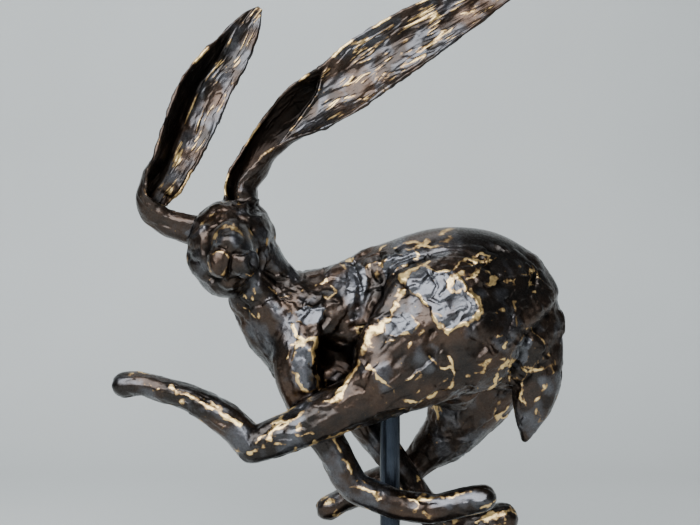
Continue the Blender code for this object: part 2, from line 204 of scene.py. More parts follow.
def withModifiers(mesh, *steps):
    # the mesh as it stands after the modifiers, each given as its kind and its settings
    carrier = bpy.data.objects.new("carrier", mesh)
    bpy.context.scene.collection.objects.link(carrier)
    for kind, settings in steps:
        step = carrier.modifiers.new(kind, kind)
        for key, value in settings.items():
            setattr(step, key, value)
    graph = bpy.context.evaluated_depsgraph_get()
    result = bpy.data.meshes.new_from_object(carrier.evaluated_get(graph))
    bpy.data.objects.remove(carrier)
    return result


def closeUp(bm, mesh):
    # open ends are filled, every face is turned outwards, and the result goes into the mesh
    bmesh.ops.holes_fill(bm, edges=[e for e in bm.edges if e.is_boundary])
    bmesh.ops.recalc_face_normals(bm, faces=bm.faces)
    bm.to_mesh(mesh)
    bm.free()


def setPoints(mesh, points):
    mesh.vertices.foreach_set("co", points.astype(np.float32).ravel())
    mesh.update()


def setAttribute(mesh, name, values):
    layer = mesh.attributes.new(name, "FLOAT", "POINT")
    layer.data.foreach_set("value", values.astype(np.float32))


# rolled forms: x, y, z, half width across, half depth
bodyForms = dict(
    torso=[(-44, 0, 50, 26, 36), (-19, 0, 50, 29, 43.5), (6, 0, 54, 33, 49), (33, 0, 57, 37, 54),
           (54, 0, 54, 37, 54), (69, 0, 49, 31, 46), (75, 0, 44, 24, 34)],
    chest=[(-80, -9, 72, 15, 18), (-62, -4, 58.5, 23, 30), (-44, 0, 48, 28, 38), (-30, 0, 42, 27, 36)],
    neck=[(-62, -2, 58, 20, 26), (-76, -9, 77, 18, 20), (-83, -14, 92, 18.5, 18)],
    tail=[(68, 0, 90, 10, 11), (79, -1, 76, 12, 13), (86, -2, 60, 12, 13.6), (88, -4, 43, 12, 14.8),
          (87, -5, 26, 11.5, 15.6), (85.6, -5, 10, 9.5, 13.2), (82, -5, -5, 7, 8), (79.8, -5, -14.5, 3, 3)],
    shoulder=[(-34, -18, 62, 11, 14), (-46, -21, 45, 12, 16), (-54, -20, 28, 11, 12)],
    farShoulder=[(-34, 18, 60, 11, 14), (-44, 20, 44, 11, 14), (-44, 18, 26, 10, 12)],
    rodBoss=[(0, 0, 16, 12, 12), (0, 0, 6, 10, 10)],
)
legForms = dict(
    nearHaunch=[(64, -14, 68, 18, 30), (45, -22, 58, 23, 42), (22, -25, 46, 23, 39), (0, -28, 28, 20, 28),
                (-23, -31, 11, 16, 16.5), (-52, -36, -3, 12.5, 12), (-70, -38, -10, 11, 10.6),
                (-79, -39, -14, 9.5, 9)],
    nearHindFoot=[(-79, -39, -13, 9.5, 9), (-87, -38, -3.5, 9.5, 9.2), (-96, -37, 3.4, 9.2, 8.9),
                  (-114, -34, 12.6, 8.2, 7.8), (-132, -31, 17.8, 7.6, 7.5), (-142.5, -29, 20.8, 7, 6.6),
                  (-152.5, -27, 19.6, 8.2, 7.4)],
    farHaunch=[(66, 14, 62, 18, 30), (60, 21, 36, 22, 37), (51, 27, 7, 20, 28), (40, 31, -16, 16, 18),
               (24, 34, -32, 11.5, 11.5), (15.5, 35, -41, 9.8, 9.5)],
    farHindFoot=[(15.5, 35, -41, 9.8, 9.5), (-2, 36, -49, 9.4, 9.8), (-21, 36, -57.5, 8.4, 8.7),
                 (-30, 35, -62, 7.6, 7.8), (-37.5, 34, -66, 8.2, 8.2)],
    nearForeleg=[(-50, -14, 60, 12, 18), (-54, -19, 40, 13, 16), (-53, -21, 19, 12, 13),
                 (-43, -20, -4, 10, 10.6), (-33, -19, -20, 9.6, 9.6), (-26.5, -18.8, -33, 9.4, 9.5),
                 (-20, -19, -41, 9.2, 9.2), (-10.5, -19.3, -45, 9, 9.2), (5, -19.3, -50.8, 9, 8.9),
                 (23.5, -19.3, -53, 8.8, 8.6), (39.5, -20, -49.4, 8.2, 8.2), (53, -21, -46.6, 8.6, 8.1)],
    farForeleg=[(-44, 14, 42, 12, 18), (-34, 18, 17, 12, 14), (-21, 19, -2.5, 10, 10.2),
                (0.7, 18, -30, 9, 9), (14, 17.5, -48, 8.8, 8.8), (21.5, 17.2, -60, 9, 9.4),
                (32, 17.2, -69.5, 8.8, 9), (47, 17.4, -73.5, 8.4, 8.4), (61, 18, -72, 8.6, 8.7),
                (70.5, 18.5, -68.5, 9.6, 9.6)],
)
muzzleForm = [(-92, -26, 98, 18, 18), (-90, -38, 96, 14.6, 16), (-88.8, -46, 94.6, 12.6, 14)]
# pressed lumps: centre, half size
pressedLumps = dict(
    skull=((-92, -15, 104), (24.2, 26, 23)),
    cheeks=((-98, -26, 95.5), (19.6, 21, 20.2)),
    jaw=((-95, -26, 87), (17, 19, 18)),
    bridge=((-90, -37, 101.5), (12.6, 20, 12.4)),
    nose=((-89.4, -54, 100.6), (7.6, 6.4, 6.2)),
    leftWhiskerPad=((-82.4, -50.5, 90.2), (7.8, 8, 9)),
    rightWhiskerPad=((-95.2, -50.5, 90.2), (7.8, 8, 9)),
    chin=((-91, -40, 82), (9, 8, 7)),
    rump=((76.5, -2, 79), (17, 19, 19)),
)


def rolledForm(stations, across=(0, 1, 0), sides=48, perSpan=10, capRings=8):
    # oval rings c + side*w*cos(a) + up*h*sin(a) along a smooth line, closed by round domes at both ends
    rows = smoothRows(stations, perSpan)
    centre, half = rows[:, :3], rows[:, 3:5]
    along = unit(np.gradient(centre, axis=0))
    side = unit(np.array(across, float) - along * (along @ np.array(across, float))[:, None])
    up = np.cross(along, side)
    reach = np.arange(capRings, 0, -1) / (capRings + 0.1)
    last = len(rows) - 1
    index = np.concatenate([np.zeros(capRings, int), np.arange(last + 1), np.full(capRings, last)])
    push = np.concatenate([-reach * half[0].min(), np.zeros(len(rows)), reach[::-1] * half[-1].min()])
    shrink = np.concatenate([np.sqrt(1 - reach**2), np.ones(len(rows)), np.sqrt(1 - reach[::-1] ** 2)])
    turn = np.arange(sides) * 2 * math.pi / sides
    points = ((centre[index] + along[index] * push[:, None])[:, None]
              + side[index][:, None] * (half[index, 0] * shrink)[:, None, None]
              * np.cos(turn)[None, :, None]
              + up[index][:, None] * (half[index, 1] * shrink)[:, None, None]
              * np.sin(turn)[None, :, None])
    return points.reshape(-1, 3), gridFaces(len(index), sides)


def pressedLump(centre, half, rows=32, sides=48):
    # an egg: centre + half size times the unit sphere's grid of heights and turns
    height = np.linspace(0.02, math.pi - 0.02, rows)[:, None]
    turn = (np.arange(sides) * 2 * math.pi / sides)[None, :]
    ball = np.stack([np.sin(height) * np.cos(turn), np.sin(height) * np.sin(turn),
                     np.cos(height) + 0 * turn], axis=-1)
    return (np.array(centre) + ball * np.array(half)).reshape(-1, 3), gridFaces(rows, sides)


def fusedSkin(parts, voxel, softening):
    # all forms in one mesh, wrapped in one even skin, with the creases between them softened
    mesh = bpy.data.meshes.new("forms")
    bm = bmesh.new()
    for points, quads in parts:
        verts = [bm.verts.new(p) for p in points.tolist()]
        for quad in quads.tolist():
            bm.faces.new([verts[i] for i in quad])
    closeUp(bm, mesh)
    return withModifiers(mesh, ("REMESH", dict(mode="VOXEL", voxel_size=voxel)),
                         ("SMOOTH", dict(factor=0.5, iterations=softening)))



def lineDistance(p, line, weight=(1.0, 0.55, 1.0)):
    # shortest distance to a line of straight pieces; the weight counts depth less than height and length
    weight = np.array(weight)
    line = np.array(line, float) * weight
    p = p * weight
    if len(line) == 1:
        return np.linalg.norm(p - line[0], axis=1)
    best = np.full(len(p), np.inf)
    for a, b in zip(line[:-1], line[1:]):
        share = np.clip((p - a) @ (b - a) / ((b - a) @ (b - a)), 0, 1)
        best = np.minimum(best, np.linalg.norm(p - a - share[:, None] * (b - a), axis=1))
    return best


def softLine(p, line, width):
    # one on the line, fading as exp(-(distance / width)^2)
    return np.exp(-(lineDistance(p, line, (1, 1, 1)) / width) ** 2)


def softMark(place, line, width):
    # the same for a line drawn across and down the picture
    return softLine(place, [(across, 0, down) for across, down in line], width)


def outlineDistance(x, z, outline):
    # distance in side view to a closed outline, positive inside it
    corners = np.array(outline, float)
    best = np.full(len(x), np.inf)
    inside = np.zeros(len(x), bool)
    for (ax, az), (bx, bz) in zip(corners, np.roll(corners, -1, axis=0)):
        ex, ez = bx - ax, bz - az
        share = np.clip(((x - ax) * ex + (z - az) * ez) / (ex * ex + ez * ez), 0, 1)
        best = np.minimum(best, np.hypot(x - ax - share * ex, z - az - share * ez))
        crosses = ((az > z) != (bz > z)) & (x < (bx - ax) * (z - az) / (bz - az + 1e-12) + ax)
        inside ^= crosses
    return np.where(inside, best, -best)


# thumb strokes: points along the stroke, reach, depth; a negative depth raises a ridge
strokes = dict(
    hollowBehindArm=([(-36, -27, 40), (-32, -27, 31)], 8.5, 8.5),
    edgeOfArm=([(-44, -31, 50), (-46, -31, 36), (-50, -30, 20)], 5.5, -2.2),
    firstRib=([(-24, -27, 84), (-25, -30, 60), (-22, -30, 40)], 5, -1.8),
    hollowBeforeHaunch=([(-8, -27, 82), (-18, -29, 60), (-28, -29, 36)], 6, 3.6),
    edgeOfHaunch=([(6, -30, 86), (-8, -38, 62), (-18, -42, 44)], 6, -2.2),
    underHaunch=([(60, -38, 24), (40, -44, 10), (16, -44, 2)], 5, 1.6),
    farFlankHollow=([(-14, 28, 78), (-20, 30, 54), (-20, 30, 34)], 7, 3.2),
    underTailRoot=([(70, -22, 60), (76, -22, 50), (72, -20, 26)], 5, 2.6),
)

# what the photograph shows on the near side, as places across and down in its pixels:
# points along the line, reach in pixels, height in millimetres, how worn to gold
veins = dict(
    haunchEdge=([(338, 398), (347, 379), (359, 358), (372, 337), (391, 314),
        (403, 290)], 3.0, 0.8, 1.0),
    haunchEdgeTop=([(403, 290), (408, 276), (422, 267), (430, 262)], 2.0, 0.5, 0.8),
    lowerVein=([(368, 366), (380, 378), (392, 387), (399, 400), (411, 401), (422, 398), (436, 394),
        (449, 387), (455, 375), (451, 366)], 1.3, 0.35, 0.75),
    thighCrack=([(372, 348), (384, 343), (395, 341), (405, 334), (413, 336),
        (410, 348)], 1.2, 0.3, 0.6),
    thighLoop=([(424, 346), (431, 358), (440, 368), (451, 366), (449, 356),
        (443, 352)], 1.3, 0.3, 0.65),
    spineLoop=([(424, 246), (428, 239), (441, 233), (455, 227), (457, 233), (446, 240), (432, 248),
        (424, 246)], 1.3, 0.3, 0.7),
    backEdge=([(376, 275), (384, 262), (395, 249), (404, 243), (414, 241), (424, 246)], 1.4, 0.4, 0.5),
    leafUpper=([(455, 272), (460, 264), (469, 258), (479, 255), (490, 256), (486, 264), (480, 271),
        (467, 280)], 1.3, 0.35, 0.8),
    rumpPlate=([(514, 302), (514, 314), (517, 325), (530, 329), (545, 341), (549, 356)], 1.3, 0.4, 0.4),
    tailRoot=([(512, 361), (519, 364), (526, 371), (538, 371), (549, 367), (555, 360)], 1.5, 0.4, 0.8),
    tailMiddle=([(526, 374), (523, 386), (520, 398), (527, 406)], 1.3, 0.3, 0.7),
    tailRight=([(534, 402), (540, 394), (545, 383), (551, 374), (556, 362)], 1.3, 0.3, 0.6),
    tailEdge=([(513, 352), (511, 364), (510, 384), (512, 404), (513, 424)], 1.3, 0.3, 0.5),
    shoulderFork=([(293, 325), (297, 336), (304, 341), (315, 337), (318, 346),
        (310, 350)], 1.6, 0.4, 0.9),
    shoulderLoop=([(287, 358), (291, 346), (301, 343)], 1.3, 0.3, 0.6),
    armPatch=([(303, 390), (311, 392), (318, 388), (318, 379), (312, 374)], 1.5, 0.4, 0.9),
    chestLoop=([(315, 287), (326, 279), (336, 292), (330, 299), (322, 297)], 1.4, 0.3, 0.6),
    ribLine=([(341, 264), (347, 272), (350, 284), (349, 297)], 1.3, 0.3, 0.3),
    neckLine=([(268, 288), (280, 296), (292, 296), (301, 291)], 1.3, 0.3, 0.4),
    shankLine=([(250, 447), (262, 436), (280, 425), (300, 413), (320, 404), (338, 398)], 1.5, 0.4, 0.5),
    hockLine=([(250, 455), (258, 450), (268, 440), (274, 430)], 1.4, 0.4, 0.8),
    patchGold=([(468, 290), (476, 299), (481, 309), (478, 318), (469, 323)], 3.0, 0.4, 1.0),
    patchGoldTop=([(404, 279), (411, 271), (420, 266), (431, 269)], 2.2, 0.3, 1.0),
    patchGoldBelow=([(448, 332), (444, 329), (440, 325)], 2.2, 0.4, 1.0),
    crownFlecks=([(200, 224), (206, 220), (213, 215)], 1.2, 0.2, 0.55),
    browFlecks=([(239, 201), (243, 206)], 1.2, 0.2, 0.5),
    noseRim=([(210, 246), (212, 238), (216, 231), (226, 225)], 1.2, 0.1, 0.5),
    mouthRim=([(210, 254), (217, 251), (224, 253), (229, 258)], 1.0, 0.1, 0.45),
    lobeRing=([(207, 262), (209, 271), (216, 276), (225, 274), (228, 266)], 1.1, 0.15, 0.45),
    footLine=([(168, 387), (190, 396), (208, 405), (226, 415), (240, 426)], 1.9, 0.5, 1.0),
    footLineFront=([(150, 384), (153, 392), (160, 387)], 1.2, 0.3, 0.7),
    footEdge=([(192, 398), (204, 398), (214, 403), (222, 411)], 1.4, 0.3, 0.8),
    pawLine=([(352, 488), (372, 492), (396, 497), (420, 500), (445, 497), (470, 492)], 1.6, 0.4, 0.6),
    wristLine=([(330, 436), (340, 450), (350, 470), (356, 482)], 1.6, 0.4, 0.5),
)
# the face and the deeper thumb marks, in the same places: a negative height is pressed in
thumbMarks = dict(
    noseLeft=([(219, 234), (217.5, 241)], 3.4, 2.6),
    noseRight=([(235, 236), (238, 242)], 4.8, 2.6),
    nosePad=([(212, 240), (216, 231), (226, 226), (236, 226), (242, 231)], 2.4, 0.4),
    noseSlit=([(227.5, 233), (227, 239), (226, 246)], 1.9, -2.6),
    mouth=([(210, 251), (217, 248), (224, 250), (230, 256), (235, 253), (244, 253),
        (252, 252)], 1.6, -1.7),
    lipParting=([(231, 258), (230, 267), (229, 277)], 1.6, -1.9),
    partingRidge=([(233, 263), (232, 268)], 1.0, 0.7),
    lipLeft=([(217, 264)], 5.0, 0.15),
    lipRight=([(241, 261)], 4.6, 0.2),
    lipLeftBelow=([(211, 268), (216, 274), (224, 274)], 2.0, 0.5),
    rumpFill=([(524, 324), (540, 311)], 5.0, 1.0),
    throatShadow=([(258, 264), (268, 272), (278, 281)], 8.0, -3.8),
    underMuzzle=([(209, 279), (228, 283), (246, 277)], 2.6, -1.9),
    jawPlane=([(212, 288), (228, 290)], 5.0, 0.7),
    chinSunk=([(240, 286), (246, 280)], 4.5, -1.6),
    besideMuzzleLeft=([(206, 236), (203, 250), (206, 264)], 3.2, -0.8),
    besideMuzzleRight=([(251, 229), (255, 243), (254, 262)], 3.0, -1.5),
    rightEyeSocket=([(194, 247)], 4.4, -2.2),
    rightEyeball=([(193.5, 247)], 2.3, 1.3),
    rightBrow=([(189, 240), (194, 237), (200, 234), (206, 229)], 2.0, 1.5),
    leftEyeSocket=([(252, 211), (258, 209)], 5.0, -2.0),
    leftEyeball=([(253, 210.5), (257, 209.5)], 2.4, 1.7),
    leftBrow=([(245, 205), (251, 201), (258, 200), (265, 204)], 2.0, 1.2),
    leftLid=([(248, 217), (255, 219), (263, 215)], 1.7, 0.8),
    templePlane=([(262, 236), (270, 246)], 8.0, 0.8),
    templeLine=([(261, 230), (267, 231), (273, 233)], 1.2, 0.4),
    foreheadRidge=([(231, 203), (228, 214), (226, 221)], 4.0, 0.7),
    crownDents=([(209, 218), (214, 212)], 3.0, -0.7),
    crownDent2=([(238, 214), (242, 220)], 2.6, -0.8),
    cheekLine=([(188, 262), (200, 276), (212, 284)], 2.2, 0.8),
    cheekDent=([(196, 262), (201, 268)], 3.0, -0.8),
    collar=([(258, 288), (268, 300), (276, 318)], 3.0, 0.9),
    collarHollow=([(270, 286), (282, 300), (290, 316)], 3.5, -1.2),
    chestHollow=([(319, 298), (312, 304)], 4.0, -1.6),
    chestRidge=([(298, 300), (316, 310), (336, 304)], 2.4, 0.9),
    shoulderDent=([(326, 318), (322, 328)], 3.6, -1.4),
    armRidge=([(288, 344), (290, 366), (296, 388)], 2.6, 0.8),
    backGroove=([(352, 262), (360, 284), (358, 306)], 2.6, -1.2),
    backFold=([(368, 262), (374, 282), (368, 306)], 2.4, 0.9),
    secondGroove=([(380, 256), (386, 274), (376, 300), (362, 326)], 3.0, -1.6),
    patchCrack=([(432, 276), (438, 288), (430, 298), (440, 304)], 1.6, -0.8),
    patchCreases=([(446, 278), (448, 288), (442, 296)], 1.4, -0.6),
    thighDent=([(404, 352), (396, 362)], 4.0, -0.8),
    thighDent2=([(430, 352), (436, 362)], 3.6, -0.9),
    kneeDent=([(356, 384), (366, 390)], 3.6, -0.9),
    kneeRidge=([(340, 404), (352, 396), (362, 396)], 2.2, 0.6),
    tailGroove=([(520, 344), (516, 360), (514, 380)], 2.6, -1.0),
    tailRidge=([(527, 346), (524, 372), (520, 400)], 2.4, 0.8),
    rumpGroove=([(508, 300), (512, 322), (508, 344)], 2.8, -1.0),
    hockDent=([(262, 434), (270, 428)], 3.2, -0.9),
    footDent=([(176, 398), (190, 402)], 2.6, -0.7),
    footDent2=([(214, 418), (224, 424)], 2.6, -0.7),
    shankDent=([(286, 432), (304, 428)], 3.4, -0.8),
)
# raised slabs on the near side, as closed outlines in the photograph's pixels, with height, rim, gold
slabs = dict(
    haunchPatch=([(402, 284), (407, 275), (418, 267), (430, 268), (440, 272), (452, 272), (461, 280),
        (467, 288), (472, 297), (480, 306), (480, 316), (473, 322), (461, 325), (450, 332),
        (441, 330), (434, 322), (432, 310), (422, 302), (412, 294)], 1.0, 0.5, 1.0),
    ribPatch=([(347, 268), (356, 262), (366, 268), (368, 284), (362, 300), (352, 304),
        (348, 290)], 0.5, 0.2, 0.15),
    backPatch=([(382, 268), (390, 258), (402, 250), (414, 248), (420, 256), (408, 264), (396, 272),
        (384, 280)], 0.5, 0.3, 0.5),
    chestPatch=([(296, 312), (306, 304), (318, 302), (326, 310), (322, 322), (308, 326),
        (298, 322)], 0.6, 0.25, 0.3),
    thighPatch=([(384, 322), (398, 312), (412, 312), (420, 326), (412, 334), (396, 338),
        (384, 334)], 0.3, 0.2, 0.3),
    armPlane=([(296, 347), (306, 343), (314, 350), (315, 361), (311, 372), (318, 380), (315, 390),
        (303, 393), (298, 381), (291, 368)], 0.7, 0.3, 0.7),
    tailPlane=([(514, 344), (524, 334), (532, 338), (530, 356), (524, 366), (514, 360)], 0.5, 0.2, 0.3),
)
# painted sheen, a lighter bluish grey standing in for the window's reflection, with a thicker wax coat:
# points along the line, reach in pixels, share
paintedSheens = dict(
    noseLeft=([(219, 234), (217, 242)], 5.0, 0.9),
    noseRight=([(235, 236), (238, 243)], 6.0, 0.9),
    browRight=([(194, 237), (206, 229)], 3.0, 0.7),
    templeLeft=([(262, 236), (270, 250)], 9.0, 0.7),
    chest=([(290, 320), (300, 350), (300, 380)], 9.0, 0.8),
    neck=([(270, 300), (284, 320), (290, 345)], 7.0, 0.7),
    ribs=([(352, 262), (352, 300)], 9.0, 0.8),
    thigh=([(390, 325), (404, 315)], 12.0, 0.6),
    shank=([(284, 414), (310, 402)], 6.0, 0.8),
    foot=([(206, 404), (226, 418)], 6.0, 0.5),
    tail=([(520, 344), (516, 366)], 6.0, 0.9),
    paw=([(110, 380), (140, 384)], 5.0, 0.6),
)

relief = dict(
    voxel=0.66, softening=40, keptTriangles=194000,
    plate=(19.0, 0.30, 0.11, 0.30), flake=(8.0, 0.06, 0.07, 0.12),  # each: size, level, tilt, torn rim
    streakLong=16.0, streakWide=3.4, streakDepth=0.20,
    waves=1.1, waveSize=16, grain=0.035, grainSize=2.4, wornSize=24,
    faceCentre=(-91, -44, 96), faceReach=24, faceQuiet=0.45, faceSteady=0.8,
    earRootCentre=(-92, -15, 104), earRootReach=(27, 34), earRootAbove=(96, 102),
    tailStep=(98, -3, 70), tailStepReach=(22, 10), tailStepRounds=200,
)


def photoPlace(points):
    # where the camera sees each point: pixels across and down, 0.6 mm a pixel at the figure's middle
    depth = 0.6 * (1 + points[:, 1] / (studio["away"] * 1000))
    across = 350 + (points[:, 0] - studio["across"] * 1000) / depth
    down = 262.5 - (points[:, 2] - studio["above"] * 1000) / depth
    return across, down


def limbFrame(p, forms):
    # for each point the nearest form's own axes: distance run along it, then the two offsets across it
    best = np.full(len(p), np.inf)
    local = np.zeros((len(p), 3))
    reach = np.zeros(len(p))
    for number, stations in enumerate(forms.values()):
        rows = smoothRows(stations, 3)
        centre = rows[:, :3]
        along = unit(np.gradient(centre, axis=0))
        side = unit(np.array([0, 1.0, 0]) - along * along[:, 1:2])
        up = np.cross(along, side)
        run = np.concatenate([[0], np.cumsum(np.linalg.norm(np.diff(centre, axis=0), axis=1))])
        gap = np.linalg.norm(p[:, None, :] - centre[None, :, :], axis=2) - rows[None, :, 3]
        pick = gap.argmin(axis=1)
        d = gap[np.arange(len(p)), pick]
        offset = p - centre[pick]
        mine = np.stack([run[pick] + np.sum(offset * along[pick], axis=1) + 200 * number,
                         np.sum(offset * side[pick], axis=1), np.sum(offset * up[pick], axis=1)], axis=1)
        closer = d < best
        best = np.where(closer, d, best)
        local = np.where(closer[:, None], mine, local)
        reach = np.where(closer, rows[pick, 3], reach)
    return local, reach


def inChunks(work, p, size=40000):
    # the same work on slices of the points, joined again, to keep the arrays small
    results = [work(p[i:i + size]) for i in range(0, len(p), size)]
    return [np.concatenate(r) for r in zip(*results)]


def tornPlates(q, size, level, tilt, rim, salt):
    # slabs of wax: each cell has its own level and slope, steps at its borders, some with a torn rim
    sway = np.stack([layeredNoise(q, size * 0.5, 3, salt + k) for k in (10, 20, 30)], axis=1)
    warped = q + sway * size * 0.16
    near, gap, number, offset = plates(warped, size, salt)
    flat = smoothStep(0, size * 0.16, gap)
    turn = number * 40.0
    slope = (offset[:, 0] * np.cos(turn) + offset[:, 1] * np.sin(turn * 1.7)
             + offset[:, 2] * np.sin(turn)) * tilt
    torn = smoothStep(0.12, 0.42, noise(q, size * 0.7, salt + 5))
    edge = np.exp(-((gap - 0.5) / 0.55) ** 2) * torn
    return ((number - 0.5) * 2 * level + slope) * flat + edge * rim, edge


def carve(mesh, settings):
    points = pointsOf(mesh)
    normals = pointsOf(mesh, "normal")
    local, reach = inChunks(lambda p: limbFrame(p, {**legForms, **bodyForms}), points)
    face = softLine(points, [settings["faceCentre"]], settings["faceReach"])
    quiet = 1 - settings["faceQuiet"] * face
    move = np.zeros(len(points))
    for line, width, depth in strokes.values():
        move -= depth * np.exp(-((lineDistance(points, line) / width) ** 2) * 1.6)
    large, largeRims = tornPlates(local * np.array([0.6, 1, 1]), *settings["plate"], 3)
    small, smallRims = tornPlates(local * np.array([0.55, 1, 1]), *settings["flake"], 40)
    thin = smoothStep(8, 22, reach)                  # the slabs fade out on thin limbs
    streaks = noise(local * np.array([settings["streakWide"] / settings["streakLong"], 1, 1]),
                    settings["streakWide"], 60)
    fineStreaks = noise(local * np.array([0.25, 1, 1]), settings["streakWide"] * 0.5, 61)
    depth = settings["streakDepth"] * (1.3 - 0.9 * thin)
    move += quiet * large * (0.3 + 0.7 * thin) + quiet * small
    move += quiet * (streaks + 0.4 * fineStreaks) * depth
    move += quiet * noise(points, settings["waveSize"], 80) * settings["waves"] * (0.3 + 0.7 * thin)
    move += layeredNoise(points, settings["grainSize"], 2, 90) * settings["grain"]
    worn = smoothStep(-0.15, 0.45, noise(points, settings["wornSize"], 95))
    worn = worn * smoothStep(120, 106, points[:, 2])
    gold = (0.75 * largeRims + 0.6 * smallRims) * worn
    # lines and slabs drawn on the side that the camera sees
    across, down = photoPlace(points)
    steady = 1 - settings["faceSteady"] * face       # the face keeps its features where they are drawn
    wobble = (noise(points, 6, 100) * 3.0 + noise(points, 2.2, 101) * 1.4) * steady
    drift = (noise(points, 6, 102) * 3.0 + noise(points, 2.2, 103) * 1.4) * steady
    eye = unit(np.array([studio["across"], -studio["away"], studio["above"]]) * 1000 - points)
    seen = smoothStep(0.05, 0.3, np.sum(eye * normals, axis=1))
    seen *= smoothStep(12, -2, points[:, 1])
    flatPlace = np.column_stack([across + wobble, np.zeros(len(points)), down + drift])
    broken = smoothStep(-0.35, 0.35, noise(points, 7, 104) + 0.6 * noise(points, 2.4, 105))
    # painted sheen: a lighter bluish grey standing in for the window's reflection, in loose clouds, then
    # along the listed lines and inside the slabs; it also thickens the wax coat
    paintedSheen = smoothStep(-0.2, 0.6, noise(points, 20, 106) + 0.5 * noise(points, 7, 107)) * 0.7
    for line, width, height in thumbMarks.values():
        move += softMark(flatPlace, line, width) * seen * height
    for line, width, height, worn in veins.values():
        mark = softMark(flatPlace, line, width) * seen * (0.3 + 0.7 * broken)
        move += mark * height * 0.7
        gold = np.maximum(gold, mark * worn)
    for line, width, share in paintedSheens.values():
        paintedSheen = np.maximum(paintedSheen, softMark(flatPlace, line, width) * seen * share)
    for outline, height, rim, worn in slabs.values():
        inward = outlineDistance(flatPlace[:, 0], flatPlace[:, 2], outline)
        mark = np.exp(-((inward - 0.8) / 1.4) ** 2) * seen * (0.2 + 0.8 * broken)
        within = smoothStep(-0.8, 1.8, inward) * seen
        move += within * height + mark * rim
        gold = np.maximum(gold, mark * worn)
        # inside each slab a sheen of the window's reflection is painted on
        paintedSheen = np.maximum(paintedSheen, within * 0.85)
    # the ears stand here as sheets of their own, so their roots stay smooth underneath
    fromHead = lineDistance(points, [settings["earRootCentre"]], (1, 1, 1))
    above = smoothStep(*settings["earRootAbove"], points[:, 2])
    earRoot = smoothStep(*settings["earRootReach"], fromHead) * above
    move *= 1 - earRoot
    points += normals * move[:, None]
    setPoints(mesh, points)
    setAttribute(mesh, "gold", gold)
    setAttribute(mesh, "paintedSheen", paintedSheen)


def markPaintedShade(mesh, scale=1.0, shaded=0.0):
    # how far each point stands above its smoothed surroundings, near and wide, less the shade given; the
    # patina paints shade into the low places from it
    points = pointsOf(mesh)
    normals = pointsOf(mesh, "normal")
    edges = edgesOf(mesh)
    near = relaxed(points, edges, 4)
    wide = relaxed(near, edges, 36)
    fine = np.sum((points - near) * normals, axis=1) / scale
    broad = np.sum((near - wide) * normals, axis=1) / scale
    both = relaxed(np.stack([fine, broad], axis=1), edges, 1)
    setAttribute(mesh, "hollowShade", both[:, 0] + both[:, 1] - shaded)


def makeBody(material):
    parts = [rolledForm(rows) for rows in {**bodyForms, **legForms}.values()]
    parts.append(rolledForm(muzzleForm, across=(1, 0, 0)))
    parts += [pressedLump(*lump) for lump in pressedLumps.values()]
    parts += [earGrid(leftEarStations, 0, leftEarFold, rootOnly=True),
              earGrid(rightEarStations, 0, rightEarFold, rootOnly=True)]
    skin = fusedSkin(parts, relief["voxel"], relief["softening"])
    # the step between the rump and the tail is worked away
    points = pointsOf(skin)
    mask = smoothStep(*relief["tailStepReach"], lineDistance(points, [relief["tailStep"]], (1, 1, 1)))
    edges = edgesOf(skin)
    edges = edges[(mask[edges] > 0).all(axis=1)]
    points += (relaxed(points, edges, relief["tailStepRounds"]) - points) * mask[:, None]
    setPoints(skin, points)
    print("body skin", len(skin.vertices), "points")
    carve(skin, relief)
    triangles = len(skin.polygons) * 2
    if triangles > relief["keptTriangles"]:
        skin = withModifiers(skin, ("DECIMATE", dict(ratio=relief["keptTriangles"] / triangles)))
    # painted shade: the low places of the skin are marked to be darkened
    markPaintedShade(skin)
    setPoints(skin, inMetres(pointsOf(skin)))
    print("body", len(skin.polygons), "faces")
    piece = addPiece("hareBody", skin, material)
    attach(piece, "root")
    return piece


# root to tip: x, y, z, half width along the sheet, curl to each side in degrees, way the hollow faces
leftEarStations = [
    (-85.6, -12, 115, 18.6, 126, -0.80, -0.60, 0.00), (-86, -11, 127.7, 19.4, 124, -0.80, -0.60, 0.00),
    (-85.6, -10, 135.5, 19.8, 116, -0.78, -0.62, 0.05), (-79.6, -8, 147, 19.4, 103, -0.68, -0.70, 0.22),
    (-73.2, -6, 157.4, 18, 91, -0.52, -0.80, 0.30), (-63.6, -4.5, 167.2, 17.4, 78, -0.36, -0.88, 0.30),
    (-52, -3, 176.4, 18.6, 62, -0.20, -0.95, 0.24), (-42.5, -2, 183.2, 19.2, 54, -0.12, -0.97, 0.20),
    (-24.6, 0, 197, 19.6, 44, 0.00, -0.99, 0.16), (-13.6, 1.5, 206.4, 19.4, 38, 0.00, -1.00, 0.14),
    (7.3, 4, 220.8, 18.4, 32, 0.04, -1.00, 0.10), (31.8, 8, 236.6, 15.6, 29, 0.06, -1.00, 0.08),
    (75, 16, 263.4, 8.9, 25, 0.08, -1.00, 0.06), (104, 21, 280.5, 1.4, 20, 0.08, -1.00, 0.06),
]
rightEarStations = [
    (-99, -14, 103.5, 16.5, 120, 0.10, 0.50, 0.86), (-117.4, -16, 107, 16.5, 115, 0.15, 0.45, 0.88),
    (-130.2, -16, 110.6, 15.6, 108, 0.25, 0.42, 0.85), (-140.2, -15.5, 117, 15.6, 98, 0.62, 0.20, 0.74),
    (-143.4, -14.5, 125.2, 16.4, 86, 0.88, -0.14, 0.28), (-140, -13.5, 133.5, 17, 75, 0.86, -0.42, 0.06),
    (-134.4, -12.5, 143, 17.2, 65, 0.62, -0.74, -0.16), (-122.6, -9.5, 167.4, 17.6, 52, 0.44, -0.86, -0.20),
    (-113.8, -6.5, 187.4, 17.2, 44, 0.38, -0.90, -0.18),
    (-105.6, -4.5, 201.2, 14.8, 40, 0.32, -0.93, -0.16),
    (-96.4, -2.5, 213.6, 12.2, 36, 0.30, -0.94, -0.12), (-87.4, -0.5, 228, 8.4, 30, 0.28, -0.95, -0.12),
    (-82.4, 0.5, 236.6, 5.2, 26, 0.26, -0.96, -0.10), (-78, 1, 242.6, 1.4, 20, 0.26, -0.96, -0.10),
]

